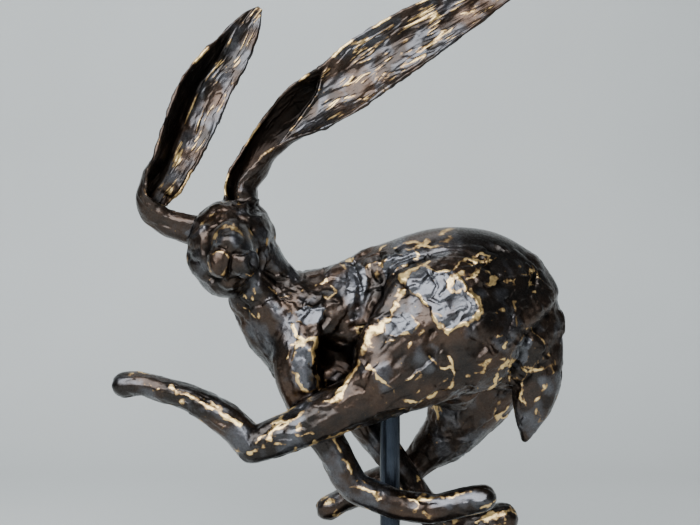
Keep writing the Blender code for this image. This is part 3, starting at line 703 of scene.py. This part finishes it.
# the crease inside each ear: share of the ear's length, place across from -1 to 1; then the crease's
# height and sharpness, the step before it, and the wall that opens out between two shares of the length
leftEarFold = dict(
    path=[(0.10, 0.3), (0.21, 0.2), (0.286, -0.12), (0.343, -0.39), (0.376, -0.75), (0.41, -0.95)],
    height=1.1, depth=2.2, wall=0.5, sharp=0.05, opens=(0.16, 0.34),
)
rightEarFold = dict(
    path=[(0.36, 0.3), (0.46, 0.13), (0.6, -0.1), (0.7, -0.12), (0.81, -0.3), (0.9, -0.6)],
    height=0.35, depth=0.7, wall=0.35, sharp=0.10, opens=(0.3, 0.42),
)

ears = dict(
    perSpan=26, across=84, thickness=2.8, rimThickness=1.9, rimSides=6, ragged=0.6,
    streakLong=22.0, streakWide=2.4, streakHeight=0.45, rimSwell=0.3,
    barkSize=5.2, barkLevel=0.2, barkTilt=0.12, barkRim=0.15,
    rootShare=0.17, rootThickness=6.0, rootEnd=1.2,
)


def earGrid(stations, salt, fold=None, rootOnly=False):
    # a sheet bent to an arc across, its middle line carried from root to tip, closed round both rims:
    # the front face stands half the thickness before the arc, the back face half behind it
    rows = smoothRows(stations, 8 if rootOnly else ears["perSpan"])
    centre, width, curl, face = rows[:, :3], rows[:, 3], np.radians(rows[:, 4]), rows[:, 5:8]
    along = unit(np.gradient(centre, axis=0))
    face = unit(face - along * np.sum(face * along, axis=1, keepdims=True))
    side = np.cross(along, face)
    run = np.concatenate([[0], np.cumsum(np.linalg.norm(np.diff(centre, axis=0), axis=1))])
    full = run[-1]
    if rootOnly:
        keep = run < full * ears["rootShare"]
        centre, width, curl, face, side, run = (x[keep] for x in (centre, width, curl, face, side, run))
    count = 30 if rootOnly else ears["across"]
    share = np.sin(np.linspace(-math.pi / 2, math.pi / 2, count))
    share = 0.55 * np.linspace(-1, 1, count) + 0.45 * share
    turnedRim = np.linspace(0, math.pi, ears["rimSides"] + 2)[1:-1]
    v = np.concatenate([share, np.ones(ears["rimSides"]), share[::-1], -np.ones(ears["rimSides"])])
    facing = np.concatenate([np.ones(count), np.cos(turnedRim), -np.ones(count), -np.cos(turnedRim)])
    outward = np.concatenate([np.zeros(count), np.sin(turnedRim), np.zeros(count), -np.sin(turnedRim)])
    shape = (len(run), len(v))
    runGrid, vGrid = np.broadcast_to(run[:, None], shape), np.broadcast_to(v[None, :], shape)
    rimPlace = np.column_stack([runGrid.ravel(), np.sign(vGrid).ravel() * 9, np.zeros(runGrid.size)])
    ragged = (noise(rimPlace, 5.5, salt + 7) + 0.6 * noise(rimPlace, 2.4, salt + 8)).reshape(shape)
    radius = (width / curl)[:, None]
    angle = curl[:, None] * vGrid * (1 + ragged * ears["ragged"] / width.mean() * np.abs(vGrid) ** 6)
    lift = (np.sin(curl) / curl)[:, None]
    middle = (centre[:, None] + face[:, None] * (radius * (lift - np.cos(angle)))[..., None]
              + side[:, None] * (radius * np.sin(angle))[..., None])
    normal = face[:, None] * np.cos(angle)[..., None] - side[:, None] * np.sin(angle)[..., None]
    edgeward = face[:, None] * np.sin(angle)[..., None] + side[:, None] * np.cos(angle)[..., None]
    shadeBehindFold = np.zeros(shape)
    if fold:
        # a crease crosses the hollow: it stands up a little, the sheet sinks just before it and then rises
        # towards the viewer as a wall up to the rim
        low, high = fold["path"][0][0], fold["path"][-1][0]
        place = np.interp(run / full, *zip(*fold["path"]))[:, None]
        span = smoothStep(low - 0.06, low + 0.06, run / full)
        span = span * smoothStep(high + 0.03, high - 0.05, run / full)
        gap = place - vGrid
        wall = fold["wall"] * smoothStep(*fold["opens"], run / full)[:, None]
        lip = np.exp(-((gap + 0.02) / fold["sharp"]) ** 2) * fold["height"]
        rise = np.maximum(gap, 0) * width[:, None] * wall - smoothStep(0, 0.14, gap) * fold["depth"] + lip
        middle = middle + face[:, None] * (span[:, None] * rise)[..., None]
        # the hollow just behind the crease is in shade: there it gets no gold or sheen and is painted
        # darker
        shadeBehindFold = smoothStep(-0.02, 0.06, gap) * smoothStep(high + 0.02, high - 0.1, run / full)[:, None]
    if rootOnly:
        thinning = (1 - run / run[-1]) ** 2.5
        half = (ears["rootEnd"] + (ears["rootThickness"] - ears["rootEnd"]) * thinning)[:, None] / 2
        points = middle + normal * (facing * half)[..., None] + edgeward * (outward * half)[..., None]
        return points.reshape(-1, 3), gridFaces(*shape)
    half = (ears["thickness"] * (1 - v**4) + ears["rimThickness"] * v**4) / 2
    half = half[None, :] * smoothStep(-0.02, 0.06, 1 - run / full)[:, None].clip(0.25)
    # strands of wax drawn lengthwise on the hollow side, softer wrinkles on the back
    sheet = np.column_stack([runGrid.ravel(), (vGrid * width[:, None]).ravel(), np.zeros(runGrid.size)])
    sway = noise(sheet * np.array([0.5, 1, 1]), 14, salt + 20) * 2.4
    swayed = sheet + np.column_stack([0 * sheet[:, 0], sway, noise(sheet, 30, salt + 21) * 14])
    drawn = swayed * np.array([ears["streakWide"] / ears["streakLong"], 1, 0.1])
    strands = noise(drawn, ears["streakWide"], salt)
    strands = strands + 0.55 * noise(drawn, ears["streakWide"] * 0.6, salt + 1)
    # thin ridges stand where the strands' noise crosses nought
    parts = noise(swayed * np.array([0.4, 1, 0.1]), 6, salt + 4)
    crest = (np.exp(-(strands / 0.17) ** 2) * smoothStep(-0.15, 0.35, parts)).reshape(shape)
    bark, barkRims = tornPlates(swayed * np.array([0.30, 1, 0.1]), ears["barkSize"], ears["barkLevel"],
                                ears["barkTilt"], ears["barkRim"], salt + 30)
    bark, barkRims = bark.reshape(shape), barkRims.reshape(shape)
    broad = noise(swayed * np.array([0.4, 1, 0.1]), 6, salt + 2).reshape(shape)
    dents = noise(sheet, 9, salt + 3).reshape(shape)
    open = smoothStep(0.16, 0.32, run / full)[:, None] * (1 - np.abs(vGrid) ** 10)
    front = facing[None, :] > 0
    hollow = (crest * ears["streakHeight"] + bark) * (0.3 + 0.7 * open) + broad * 0.5 + dents * 0.4
    bump = np.where(front, hollow,
                    crest * 0.15 + bark * 0.8 + broad * 0.4 + dents * 0.9)
    rim = np.exp(-((1 - np.abs(vGrid)) / 0.045) ** 2) * (0.6 + 0.6 * ragged).clip(0)
    offset = facing * half + np.sign(facing) * (bump + rim * ears["rimSwell"] * (outward == 0))
    points = middle + normal * offset[..., None] + edgeward * (outward * half)[..., None]
    lit = 1 - shadeBehindFold
    rimWorn = smoothStep(-0.1, 0.5, noise(rimPlace, 18, salt + 9)).reshape(shape)
    rimWorn = rimWorn * np.where(vGrid < 0, 0.6, 0.3)
    # gold is left out where the shade behind the crease is painted
    gold = np.maximum((crest * 0.44 + barkRims * 0.2) * np.where(front, lit, 0.25) * (0.2 + 0.8 * open),
                      np.exp(-((1 - np.abs(vGrid)) / 0.02) ** 2) * rimWorn)
    # painted sheen on the hollow side, standing in for the window's reflection, none in the shade behind
    # the crease; an even amount on the back
    clouds = smoothStep(-0.3, 0.3, noise(swayed, 12, salt + 5)).reshape(shape)
    paintedSheen = np.where(front, lit * (0.1 + 0.5 * clouds), 0.2)
    return points.reshape(-1, 3), gridFaces(*shape), gold.ravel(), paintedSheen.ravel(), (shadeBehindFold * front).ravel()


def earPiece(name, stations, salt, material, fold=None):
    points, quads, gold, paintedSheen, shadeBehindFold = earGrid(stations, salt, fold)
    mesh = meshFrom(name, points, quads)
    setAttribute(mesh, "gold", gold)
    setAttribute(mesh, "paintedSheen", paintedSheen)
    bm = bmesh.new()
    bm.from_mesh(mesh)
    closeUp(bm, mesh)
    # the shade behind the crease is painted darker into the colour
    markPaintedShade(mesh, figure["scale"], shadeBehindFold * 0.9)
    print(name, len(mesh.polygons), "faces")
    piece = addPiece(name, mesh, material)
    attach(piece, "root")
    return piece



def shaderOf(name):
    material = bpy.data.materials.new(name)
    material.use_nodes = True
    tree = material.node_tree
    return material, tree, tree.nodes["Principled BSDF"]


def node(tree, kind, inputs=None, **settings):
    made = tree.nodes.new(kind)
    for key, value in settings.items():
        setattr(made, key, value)
    for key, value in (inputs or {}).items():
        if isinstance(value, bpy.types.NodeSocket):
            tree.links.new(value, made.inputs[key])
        else:
            made.inputs[key].default_value = value
    return made


def ramp(tree, source, stops):
    made = node(tree, "ShaderNodeValToRGB", {0: source})
    elements = made.color_ramp.elements
    while len(elements) < len(stops):
        elements.new(0.5)
    for element, (place, colour) in zip(elements, stops):
        element.position = place
        element.color = (*colour, 1)
    return made.outputs[0]


def grey(v):
    return (v, v, v)


def between(tree, source, low, high):
    # nought up to low, one from high
    return ramp(tree, source, [(low, grey(0)), (high, grey(1))])


def mixColour(tree, share, a, b, blend="MIX"):
    made = node(tree, "ShaderNodeMix", data_type="RGBA", blend_type=blend)
    for socket, value in ((made.inputs[0], share), (made.inputs[6], a), (made.inputs[7], b)):
        if isinstance(value, bpy.types.NodeSocket):
            tree.links.new(value, socket)
        else:
            socket.default_value = value
    return made.outputs[2]


def cloudy(tree, place, scale, detail, roughness=0.5):
    inputs = {"Vector": place, "Scale": scale, "Detail": detail, "Roughness": roughness}
    return node(tree, "ShaderNodeTexNoise", inputs).outputs[0]


def maths(tree, operation, a, b=0.0, clamp=False):
    made = node(tree, "ShaderNodeMath", {0: a, 1: b}, operation=operation, use_clamp=clamp)
    return made.outputs[0]


def linear(tree, value, slope, start):
    # start + slope * value
    return maths(tree, "ADD", maths(tree, "MULTIPLY", value, slope), start)


# the bluish grey after the brown is a painted sheen that stands in for the window's reflection
bronze = dict(
    dark=(0.021, 0.016, 0.013), brown=(0.060, 0.035, 0.022), paintedSheen=(0.066, 0.066, 0.074),
    rubbed=(0.34, 0.205, 0.088), gold=(0.86, 0.61, 0.27), roughness=0.22,
)


def bronzePatina():
    material, tree, shader = shaderOf("patinatedBronze")
    place = node(tree, "ShaderNodeTexCoord").outputs["Object"]
    hollowShade = node(tree, "ShaderNodeAttribute", attribute_name="hollowShade").outputs["Fac"]
    drawnGold = node(tree, "ShaderNodeAttribute", attribute_name="gold").outputs["Fac"]
    drawnSheen = node(tree, "ShaderNodeAttribute", attribute_name="paintedSheen").outputs["Fac"]
    cloud = cloudy(tree, place, 30, 5, 0.6)
    mottle = cloudy(tree, place, 160, 6, 0.62)
    fleck = cloudy(tree, place, 620, 3, 0.6)
    brown = between(tree, cloud, 0.42, 0.62)
    base = mixColour(tree, brown, (*bronze["dark"], 1), (*bronze["brown"], 1))
    # painted sheen: the colour turns a lighter bluish grey where the window's reflection is painted on
    sheenShare = maths(tree, "ADD", drawnSheen, maths(tree, "SUBTRACT", mottle, 0.6))
    sheenShare = between(tree, sheenShare, 0.15, 0.75)
    base = mixColour(tree, sheenShare, base, (*bronze["paintedSheen"], 1))
    # worn gold on the drawn veins, broken up by the mottling, with a few loose specks
    broken = linear(tree, maths(tree, "SUBTRACT", mottle, 0.5), 3.2, 1.0)
    worn = between(tree, maths(tree, "MULTIPLY", drawnGold, broken), 0.16, 0.47)
    specks = between(tree, fleck, 0.70, 0.76)
    worn = maths(tree, "MAXIMUM", worn, maths(tree, "MULTIPLY", specks, 0.35))
    rubbed = between(tree, worn, 0.0, 0.4)
    colour = mixColour(tree, rubbed, base, (*bronze["rubbed"], 1))
    golden = between(tree, worn, 0.3, 0.95)
    colour = mixColour(tree, golden, colour, (*bronze["gold"], 1))
    # painted shade: hollows, creases and the shaded inside of the ears are darkened in the colour, and
    # their wax coat is thinned
    paintedShade = ramp(tree, linear(tree, hollowShade, 0.7, 0.6), [(0.0, grey(0.2)), (0.5, grey(1))])
    colour = mixColour(tree, 1.0, colour, paintedShade, "MULTIPLY")
    tree.links.new(colour, shader.inputs["Base Color"])
    shader.inputs["Metallic"].default_value = 1.0
    rough = linear(tree, mottle, 0.25, bronze["roughness"])
    rough = maths(tree, "ADD", rough, maths(tree, "MULTIPLY", worn, 0.06))
    tree.links.new(rough, shader.inputs["Roughness"])
    # a film of wax that is rubbed thin on the gold, lies thickest where the sheen is painted, and is
    # thinned in the painted shade of the hollows
    wax = maths(tree, "MULTIPLY", linear(tree, sheenShare, 0.6, 0.4), maths(tree, "SUBTRACT", 1.0, worn))
    tree.links.new(maths(tree, "MULTIPLY", wax, paintedShade), shader.inputs["Coat Weight"])
    tree.links.new(linear(tree, fleck, 0.3, 0.12), shader.inputs["Coat Roughness"])
    bump = node(tree, "ShaderNodeBump", {"Height": fleck, "Strength": 0.25, "Distance": 0.0004})
    bump = node(tree, "ShaderNodeBump", {"Height": mottle, "Strength": 0.22, "Distance": 0.001,
                                         "Normal": bump.outputs[0]})
    tree.links.new(bump.outputs[0], shader.inputs["Normal"])
    return material


def bluedSteel():
    material, tree, shader = shaderOf("bluedSteel")
    place = node(tree, "ShaderNodeTexCoord").outputs["Object"]
    drawn = node(tree, "ShaderNodeMapping", {"Vector": place, "Scale": (900, 900, 30)}).outputs[0]
    lines = cloudy(tree, drawn, 1.0, 4)
    cloud = cloudy(tree, place, 60, 4)
    colour = ramp(tree, cloud, [(0.35, (0.020, 0.026, 0.036)), (0.70, (0.050, 0.060, 0.078))])
    tree.links.new(colour, shader.inputs["Base Color"])
    shader.inputs["Metallic"].default_value = 0.9
    tree.links.new(linear(tree, lines, 0.25, 0.16), shader.inputs["Roughness"])
    bump = node(tree, "ShaderNodeBump", {"Height": lines, "Strength": 0.12, "Distance": 0.0002})
    tree.links.new(bump.outputs[0], shader.inputs["Normal"])
    return material


def blackStone():
    material, tree, shader = shaderOf("blackStone")
    place = node(tree, "ShaderNodeTexCoord").outputs["Object"]
    grain = node(tree, "ShaderNodeTexVoronoi", {"Vector": place, "Scale": 900}).outputs["Distance"]
    cloud = cloudy(tree, place, 45, 6)
    crystals = ramp(tree, grain, [(0.05, grey(0.09)), (0.28, grey(0.018))])
    colour = mixColour(tree, maths(tree, "MULTIPLY", cloud, 0.6), crystals, (0.012, 0.012, 0.014, 1))
    tree.links.new(colour, shader.inputs["Base Color"])
    tree.links.new(linear(tree, cloud, 0.2, 0.24), shader.inputs["Roughness"])
    bump = node(tree, "ShaderNodeBump", {"Height": grain, "Strength": 0.08, "Distance": 0.0002})
    tree.links.new(bump.outputs[0], shader.inputs["Normal"])
    return material


def dress(nodeName, material):
    # the CAD solid keeps its shape and takes the finish
    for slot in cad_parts[nodeName].material_slots:
        slot.material = material


studio = dict(
    wallBehind=1.1, floorColour=(0.63, 0.645, 0.63),
    lens=50.0, sensor=36.0, away=0.5833, across=-0.024, above=0.0897,
)


def plainFloor():
    # a floor that curves up into a wall: a quarter circle between two straight runs, carried sideways
    bend = 0.5
    turn = np.linspace(0, math.pi / 2, 24)
    y = np.concatenate([[-2.4], studio["wallBehind"] - bend + bend * np.sin(turn), [studio["wallBehind"]]])
    z = np.concatenate([[0], bend - bend * np.cos(turn), [2.6]])
    x = np.array([-2.6, 2.6])
    points = np.stack(np.broadcast_arrays(x[None, :], y[:, None], z[:, None]), axis=-1).reshape(-1, 3)
    mesh = meshFrom("plainFloor", points, gridFaces(len(y), 2, wrap=False), scaled=False)
    material, tree, shader = shaderOf("plainPlaster")
    place = node(tree, "ShaderNodeTexCoord").outputs["Object"]
    cloud = cloudy(tree, place, 2.2, 3)
    low = tuple(c * 0.93 for c in studio["floorColour"])
    colour = ramp(tree, cloud, [(0.3, low), (0.7, studio["floorColour"])])
    tree.links.new(colour, shader.inputs["Base Color"])
    shader.inputs["Roughness"].default_value = 0.9
    piece = addPiece("plainFloor", mesh, material)


def softLight(name, place, target, size, watts, colour):
    light = bpy.data.lights.new(name, "AREA")
    light.shape = "RECTANGLE"
    light.size, light.size_y = size
    light.energy = watts
    light.color = colour
    lamp = bpy.data.objects.new(name, light)
    bpy.context.scene.collection.objects.link(lamp)
    lamp.location = place
    lamp.rotation_euler = (Vector(target) - Vector(place)).to_track_quat("-Z", "Y").to_euler()


def lighting():
    middle = (0, 0, figure["belly"] + 0.06)
    softLight("window", (-0.42, -1.30, 1.20), middle, (2.0, 1.35), 76, (0.90, 0.95, 1.0))
    softLight("skylight", (-0.3, 0.5, 1.7), middle, (1.0, 0.4), 4, (0.90, 0.95, 1.0))
    world = bpy.data.worlds.new("studio")
    bpy.context.scene.world = world
    world.use_nodes = True
    back = world.node_tree.nodes["Background"]
    back.inputs[0].default_value = (0.84, 0.88, 0.92, 1)
    back.inputs[1].default_value = 0.16


def cameraAsPhotographed():
    data = bpy.data.cameras.new("camera")
    data.lens = studio["lens"]
    data.sensor_width = studio["sensor"]
    data.clip_start = 0.01
    camera = bpy.data.objects.new("camera", data)
    bpy.context.scene.collection.objects.link(camera)
    camera.location = (studio["across"], -studio["away"], figure["belly"] + studio["above"])
    camera.rotation_euler = (math.pi / 2, 0, 0)
    bpy.context.scene.camera = camera


cameraAsPhotographed()
lighting()
plainFloor()
print("stage set")
patina = bronzePatina()
body = makeBody(patina)
print("body made")
leftEar = earPiece("leftEar", leftEarStations, 200, patina, leftEarFold)
rightEar = earPiece("rightEar", rightEarStations, 300, patina, rightEarFold)
for piece in (body, leftEar, rightEar):
    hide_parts("hare")
print("ears made")
dress("support_rod", bluedSteel())
dress("stone_block", blackStone())
print("rod and block dressed")
